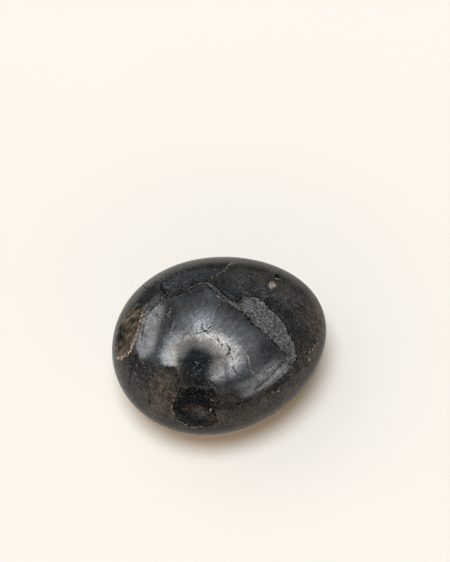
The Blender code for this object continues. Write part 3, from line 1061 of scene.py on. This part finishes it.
class PalmStoneSizes(bpy.types.PropertyGroup):
    length: size_setting("Length", "Length of the stone, along X", 62.9 * MM)
    width: size_setting("Width", "Width across the middle, along Y", 53.6 * MM)
    crown_rise: size_setting("Crown rise", "From the girdle to the top, half way along", 19.3 * MM)
    belly_depth: size_setting("Belly depth", "From the girdle to the bottom, before wear", 16.0 * MM)
    flat_wear: size_setting("Flat wear", "How much of the bottom the resting flat takes", 0.9 * MM)
    flat_edge: size_setting("Flat edge", "Depth over which the flat rounds into the belly", 0.4 * MM)
    width_taper: share_setting("Width taper", "Share of the half width lost towards +X", 0.073)
    rise_taper: share_setting("Rise taper", "Share of the crown's rise lost towards +X", 0.30)
    girdle_blend: share_setting("Girdle blend", "Sine of the latitude where crown and belly are apart", 0.5)
    vein_depth: size_setting("Vein depth", "How far the grainy vein lies below the polish", 0.25 * MM)
    pocket_depth: size_setting("Pocket depth", "How deep the olive pocket is", 0.45 * MM)
    patch_depth: size_setting("Patch depth", "How deep the dark patch is", 0.30 * MM)
    fissure_depth: size_setting("Fissure depth", "How deep the fissures are", 0.06 * MM)
    cells: bpy.props.IntProperty(name="Cells", description="Cells along a cube's side", default=128, min=8)
    gather: share_setting("Gather", "How far the grid gathers on the near side", 0.35)


class PalmStoneColours(bpy.types.PropertyGroup):
    ground_dark: colour_setting("Dark ground", "Darker share of the ground mass", (0.0045, 0.0058, 0.0072))
    ground_pale: colour_setting("Pale ground", "Paler share of the ground mass", (0.020, 0.0232, 0.0262))
    stain: colour_setting("Stain", "Faint brown clouds in the ground mass", (0.036, 0.031, 0.025))
    thread: colour_setting("Thread", "Pale threads in the ground mass", (0.075, 0.072, 0.064))
    # Partly the stone's blue sheen, painted in as colour.
    mist_and_sheen: colour_setting("Mist", "Blue-grey clouding", (0.052, 0.062, 0.072))
    brown: colour_setting("Brown", "Brown stain", (0.066, 0.058, 0.047))
    rust: colour_setting("Rust", "Orange-brown stain", (0.105, 0.058, 0.034))
    # Also the colour of the painted shade in the shade zones.
    shade: colour_setting("Shade", "Darkest ground", (0.005, 0.005, 0.006))
    sheen_cool: colour_setting("Cool sheen", "Blue-grey flash of the plate", (0.089, 0.0985, 0.107))
    sheen_warm: colour_setting("Warm sheen", "Tan-grey flash of the plate", (0.108, 0.105, 0.101))
    olive_dark: colour_setting("Dark olive", "Darker share of the pocket", (0.016, 0.0145, 0.011))
    olive_pale: colour_setting("Pale olive", "Paler share of the pocket", (0.160, 0.138, 0.104))
    patch: colour_setting("Patch", "Dark patch", (0.0038, 0.0046, 0.0058))
    patch_pale: colour_setting("Pale patch", "Paler share of the dark patch", (0.019, 0.022, 0.026))
    ash: colour_setting("Ash", "Pale clouding in the dark patch", (0.046, 0.045, 0.042))
    vein_dark: colour_setting("Dark vein", "Pepper of the vein", (0.036, 0.039, 0.043))
    vein_pale: colour_setting("Pale vein", "Salt of the vein", (0.205, 0.212, 0.219))
    # Also the colour of the painted shade in the pit.
    fissure: colour_setting("Fissure", "Bottom of the fissures", (0.004, 0.0035, 0.003))
    gold_dark: colour_setting("Dark gold", "Shaded side of golden grains", (0.070, 0.050, 0.032))
    gold_pale: colour_setting("Pale gold", "Lit side of golden grains", (0.460, 0.370, 0.265))
    gold_dull: colour_setting("Dull gold", "Shaded side of bright grains", (0.150, 0.122, 0.098))
    crust: colour_setting("Crust", "Dull share of the round spot", (0.105, 0.090, 0.076))
    # Also the colour of the painted glint in the pit.
    grain: colour_setting("Bright grain", "Bright mineral grains", (0.620, 0.560, 0.490))


class PalmStoneStage(bpy.types.PropertyGroup):
    paper: colour_setting("Paper", "Floor colour", (0.895, 0.861, 0.804))
    paper_half: size_setting("Paper half width", "Half the floor's side", 3.0)
    key_strength: bpy.props.FloatProperty(
        name="Key strength",
        description="Strength of the overhead key, in watts a square metre",
        default=2.42,
        min=0.0,
    )
    key_spread: bpy.props.FloatProperty(
        name="Key spread",
        description="How wide the key looks from the stone",
        default=math.radians(31),
        subtype="ANGLE",
    )
    key_colour: colour_setting("Key colour", "Tint of the key", (0.863, 0.932, 1.0))
    fill: colour_setting("Fill", "Low light from all round, for matte surfaces", (1.78, 1.37, 0.98))
    room: colour_setting("Room", "What the polish reflects of the dim room", (0.25, 0.26, 0.28))


# ----------------------------------------------------------------------
# Stage
# ----------------------------------------------------------------------

PAPER_DROP = 0.02 * MM  # how far the floor lies below the resting flat, so that the two don't flicker
KEY_BEARING = -75  # bearings of lights are azimuths in degrees, 0 being -Y and 90 being +X
KEY_HEIGHT = math.radians(82)
FILL_BEARING = -60  # where the low light is strongest
LOBE_BEARING = -150  # where more light comes from high up
LOBE_COLOUR = (0.74, 0.75, 0.76)
BACKDROP = (0.965, 0.915, 0.845)  # what is seen past the floor
# The way to the panel's middle, by the camera's right, up and back.
PANEL_RIGHT = 0.03
PANEL_UP = 0.25
PANEL_BACK = 0.965
DISC_COLOUR = (0.05, 0.085, 0.11)  # what the camera's dark disc reflects
GLOW_WARM = (4.5, 4.15, 3.8)  # the glow's colour near the disc
GLOW_COOL = (3.9, 4.15, 4.35)  # and further out


def bearing_vector(azimuth):
    """Level unit vector towards an azimuth in degrees, 0 being -Y and 90 being +X."""
    turn = math.radians(azimuth)
    return (math.sin(turn), -math.cos(turn), 0.0)


def panel_shine(w, stage, way, sideways, upwards):
    """What the polish reflects round the camera: a large soft panel with the camera in front of it.

    The glow rises with the angle from the camera's dark disc to a bright ring, and falls off beyond it. The
    camera's stand is a dark column below the disc. The panel is a little out of round, and brighter on the
    right.
    """
    right, up, back, _ = view_axes()
    centre = unit(right * PANEL_RIGHT + up * PANEL_UP + back * PANEL_BACK)
    off_centre = w.times(w.math("ARCCOSINE", w.vector("DOT_PRODUCT", way, tuple(centre))), 180 / math.pi)
    beside_centre = w.plus(sideways, -PANEL_RIGHT)
    above_centre = w.plus(upwards, -PANEL_UP)
    low_right = w.times(w.ramp(above_centre, -0.16, -0.02, 1.0, 0.0), w.ramp(beside_centre, 0.05, 0.25))
    slant = w.times(beside_centre, w.most(above_centre, 0.0))

    # The glow along a line out from the centre, the angles being in degrees.
    inward = w.math("MULTIPLY_ADD", low_right, 2.2, w.ramp(beside_centre, -0.14, 0.02, 1.8, 0.0))
    reached = w.plus(off_centre, inward)
    rise = w.plus(w.ramp(reached, 12.0, 17.0, 0.0, 0.30), w.ramp(reached, 21.0, 29.0, 0.0, 0.70))
    pull = w.ramp(beside_centre, -0.45, 0.45, -4.2, 1.6)
    drawn_left = w.plus(w.plus(off_centre, pull), w.ramp(slant, -0.07, 0.0, 2.6, 0.0))
    near_ring = w.ramp(drawn_left, w.math("MULTIPLY_ADD", low_right, -5.0, 30.0), 42.0, 0.92, 0.0)
    far_glow = w.times(w.ramp(slant, 0.05, 0.15, 0.08, 0.17), w.ramp(drawn_left, 40.0, 62.0, 1.0, 0.0))
    tail = w.times(w.ramp(off_centre, 30.0, 64.0, 0.85, 0.05), w.ramp(upwards, 0.55, 0.80))
    tail = w.times(tail, w.ramp(w.math("ABSOLUTE", sideways), 0.10, 0.40, 1.0, 0.0))
    glow = w.times(rise, w.most(w.plus(near_ring, far_glow), tail))

    # The panel ends low down: sharply on the left, softly on the right.
    left_edge = w.math("SUBTRACT", upwards, w.math("MULTIPLY_ADD", sideways, 0.186, 0.118))
    sharp_edge = w.ramp(left_edge, -0.02, 0.02)
    soft_edge = w.ramp(upwards, -0.30, 0.0)
    low_edge = w.between(w.ramp(sideways, -0.05, 0.05), sharp_edge, soft_edge)
    beside_stand = w.ramp(w.math("ABSOLUTE", w.plus(sideways, 0.065)), 0.255, 0.295)
    stand = w.most(beside_stand, w.ramp(upwards, 0.20, 0.30))
    glow = w.times(glow, w.times(low_edge, stand))

    # It is weaker towards the upper left and stronger towards the upper right.
    glow = w.times(glow, w.ramp(slant, -0.09, -0.005, 0.66, 1.0))
    spoke = w.node("ShaderNodeCombineXYZ", {0: beside_centre, 1: above_centre}).outputs[0]
    towards_top_left = w.vector("DOT_PRODUCT", w.vector("NORMALIZE", spoke), (-0.423, 0.906, 0.0))
    glow = w.times(glow, w.ramp(towards_top_left, 0.80, 0.96, 1.0, 0.74))
    glow = w.times(glow, w.ramp(slant, 0.02, 0.11, 1.0, 1.10))

    warmth = w.ramp(w.math("MULTIPLY_ADD", low_right, 7.0, off_centre), 26.0, 40.0)
    room = w.times(w.ramp(off_centre, 12.0, 17.0), w.most(stand, 0.35))
    shine = w.vector("SCALE", w.blend(warmth, GLOW_WARM, GLOW_COOL), glow)
    shine = w.vector("ADD", shine, w.vector("SCALE", tuple(stage.room), room))
    return w.vector("ADD", shine, w.vector("SCALE", DISC_COLOUR, w.ramp(off_centre, 14.0, 18.0, 1.0, 0.0)))


def studio_world(stage):
    """Low warm light for matte surfaces, and for the polish a dim room with the panel and three bands.

    The bands are a strip at the far left, one at the front right, and a faint one along the far wall. Matte
    surfaces are lit from low down all round, most from the left, and a little from high up at the far left.
    """
    world = bpy.data.worlds.new("studio")
    world.use_nodes = True
    w = Wiring(world.node_tree)
    right, up, _, _ = view_axes()
    way = w.node("ShaderNodeTexCoord").outputs["Generated"]
    sideways = w.vector("DOT_PRODUCT", way, tuple(right))
    upwards = w.vector("DOT_PRODUCT", way, tuple(up))
    height = w.node("ShaderNodeSeparateXYZ", {0: way}).outputs["Z"]
    level = w.vector("NORMALIZE", w.vector("MULTIPLY", way, (1.0, 1.0, 0.0)))

    def towards(azimuth):
        """1 towards an azimuth, and -1 away from it."""
        return w.vector("DOT_PRODUCT", level, bearing_vector(azimuth))

    def band(azimuth, half, edge, low, full, top, end, colour):
        """A strip of light between elevations, given as sines, and within half degrees of an azimuth."""
        widest = math.cos(math.radians(half + edge))
        across = w.ramp(towards(azimuth), widest, math.cos(math.radians(half - edge)))
        share = w.times(w.ramp(height, low, full), w.ramp(height, top, end, 1.0, 0.0))
        return w.vector("SCALE", colour, w.times(across, share))

    left_strip = band(-145, 40, 5, 0.17, 0.27, 0.66, 0.80, (1.92, 1.93, 1.92))
    strip_edge = w.math("SUBTRACT", w.math("MULTIPLY_ADD", upwards, 0.525, -0.91), sideways)
    left_strip = w.vector("SCALE", left_strip, w.ramp(strip_edge, -0.03, 0.03))
    right_strip = band(35, 21, 7, 0.08, 0.17, 0.44, 0.56, (1.38, 1.33, 1.26))
    far_wall = band(170, 80, 5, -0.10, 0.02, 0.25, 0.70, (0.06, 0.062, 0.065))
    shine = panel_shine(w, stage, way, sideways, upwards)
    for light in (left_strip, right_strip, far_wall):
        shine = w.vector("ADD", shine, light)

    more_left = w.math("MULTIPLY_ADD", towards(FILL_BEARING), 0.60, 1.0)
    low_light = w.times(w.ramp(height, 0.3, 0.6, 1.0, 0.0), more_left)
    lobe = w.times(w.ramp(height, 0.50, 0.65), w.ramp(height, 0.80, 0.95, 1.0, 0.0))
    lobe = w.times(lobe, w.ramp(towards(LOBE_BEARING), 0.2, 0.95))
    fill = w.vector("SCALE", tuple(stage.fill), low_light)
    fill = w.vector("ADD", fill, w.vector("SCALE", LOBE_COLOUR, lobe))
    path = w.node("ShaderNodeLightPath").outputs
    colour = w.blend(path["Is Glossy Ray"], w.blend(path["Is Camera Ray"], fill, BACKDROP), shine)
    w.plug(world.node_tree.nodes["Background"].inputs["Color"], colour)
    world.cycles.sampling_method = "NONE"
    return world


def add_object(name, data):
    """A new object in the scene, at the origin."""
    made = bpy.data.objects.new(name, data)
    bpy.context.scene.collection.objects.link(made)
    return made


def add_floor(stage):
    """A square sheet of paper just below the stone."""
    half = stage.paper_half
    corners = [(x * half, y * half, -PAPER_DROP) for x, y in ((-1, -1), (1, -1), (1, 1), (-1, 1))]
    mesh = bpy.data.meshes.new("paper_floor")
    mesh.from_pydata(corners, [], [(0, 1, 2, 3)])
    mesh.materials.append(pale_paper(stage.paper))
    floor = add_object("paper_floor", mesh)


def add_key(stage):
    """The soft key, high up and a little to the left. It lights matte surfaces but isn't seen in the polish.

    Its direction is the bearing's, raised by the height.
    """
    data = bpy.data.lights.new("key", "SUN")
    data.energy = stage.key_strength
    data.angle = stage.key_spread
    data.color = stage.key_colour
    back = Vector(bearing_vector(KEY_BEARING)) * math.cos(KEY_HEIGHT) + Vector((0, 0, math.sin(KEY_HEIGHT)))
    key = add_object("key", data)
    key.rotation_mode = "QUATERNION"
    key.rotation_quaternion = back.to_track_quat("Z", "Y")
    key.visible_glossy = False
    key.visible_camera = False


def add_camera():
    """The camera, placed and turned as view_axes gives."""
    right, up, back, place = view_axes()
    data = bpy.data.cameras.new("camera")
    data.sensor_width = SENSOR
    data.lens = VIEW_FOCAL / VIEW_HEIGHT * SENSOR
    data.clip_start = 0.01
    data.clip_end = 50.0
    camera = add_object("camera", data)
    camera.matrix_world = Matrix.Translation(Vector(place)) @ Matrix([right, up, back]).transposed().to_4x4()
    bpy.context.scene.camera = camera


# ----------------------------------------------------------------------
# Operators, panel and registration
# ----------------------------------------------------------------------


class PALMSTONE_OT_stone(bpy.types.Operator):
    """Make the polished stone over its solid"""

    bl_idname = "palmstone.stone"
    bl_label = "Polished Stone"
    bl_options = {"REGISTER", "UNDO"}

    def execute(self, context):
        scene = context.scene
        mesh = stone_mesh(scene.palm_stone)
        mesh.materials.append(polished_labradorite(scene.palm_stone_colours))
        stone = add_object("polished_stone", mesh)
        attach(stone, "root")
        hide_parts("palm_stone")
        return {"FINISHED"}


class PALMSTONE_OT_stage(bpy.types.Operator):
    """Make the pale floor, the soft lights and the camera"""

    bl_idname = "palmstone.stage"
    bl_label = "Stage"
    bl_options = {"REGISTER", "UNDO"}

    def execute(self, context):
        scene = context.scene
        stage = scene.palm_stone_stage
        add_floor(stage)
        add_key(stage)
        scene.world = studio_world(stage)
        scene.view_settings.view_transform = "Standard"
        add_camera()
        return {"FINISHED"}


class PALMSTONE_PT_panel(bpy.types.Panel):
    """Lists the stone's and the stage's operators"""

    bl_idname = "PALMSTONE_PT_panel"
    bl_label = "Palm Stone"
    bl_space_type = "VIEW_3D"
    bl_region_type = "UI"
    bl_category = "Palm Stone"

    def draw(self, context):
        layout = self.layout
        layout.operator(PALMSTONE_OT_stone.bl_idname)
        layout.operator(PALMSTONE_OT_stage.bl_idname)


CLASSES = (
    PalmStoneSizes,
    PalmStoneColours,
    PalmStoneStage,
    PALMSTONE_OT_stone,
    PALMSTONE_OT_stage,
    PALMSTONE_PT_panel,
)


def register():
    for cls in CLASSES:
        bpy.utils.register_class(cls)
    bpy.types.Scene.palm_stone = bpy.props.PointerProperty(type=PalmStoneSizes)
    bpy.types.Scene.palm_stone_colours = bpy.props.PointerProperty(type=PalmStoneColours)
    bpy.types.Scene.palm_stone_stage = bpy.props.PointerProperty(type=PalmStoneStage)


def unregister():
    del bpy.types.Scene.palm_stone
    del bpy.types.Scene.palm_stone_colours
    del bpy.types.Scene.palm_stone_stage
    for cls in reversed(CLASSES):
        bpy.utils.unregister_class(cls)


def main():
    """Makes everything."""
    register()
    bpy.ops.palmstone.stone()
    bpy.ops.palmstone.stage()


if __name__ == "__main__":
    main()
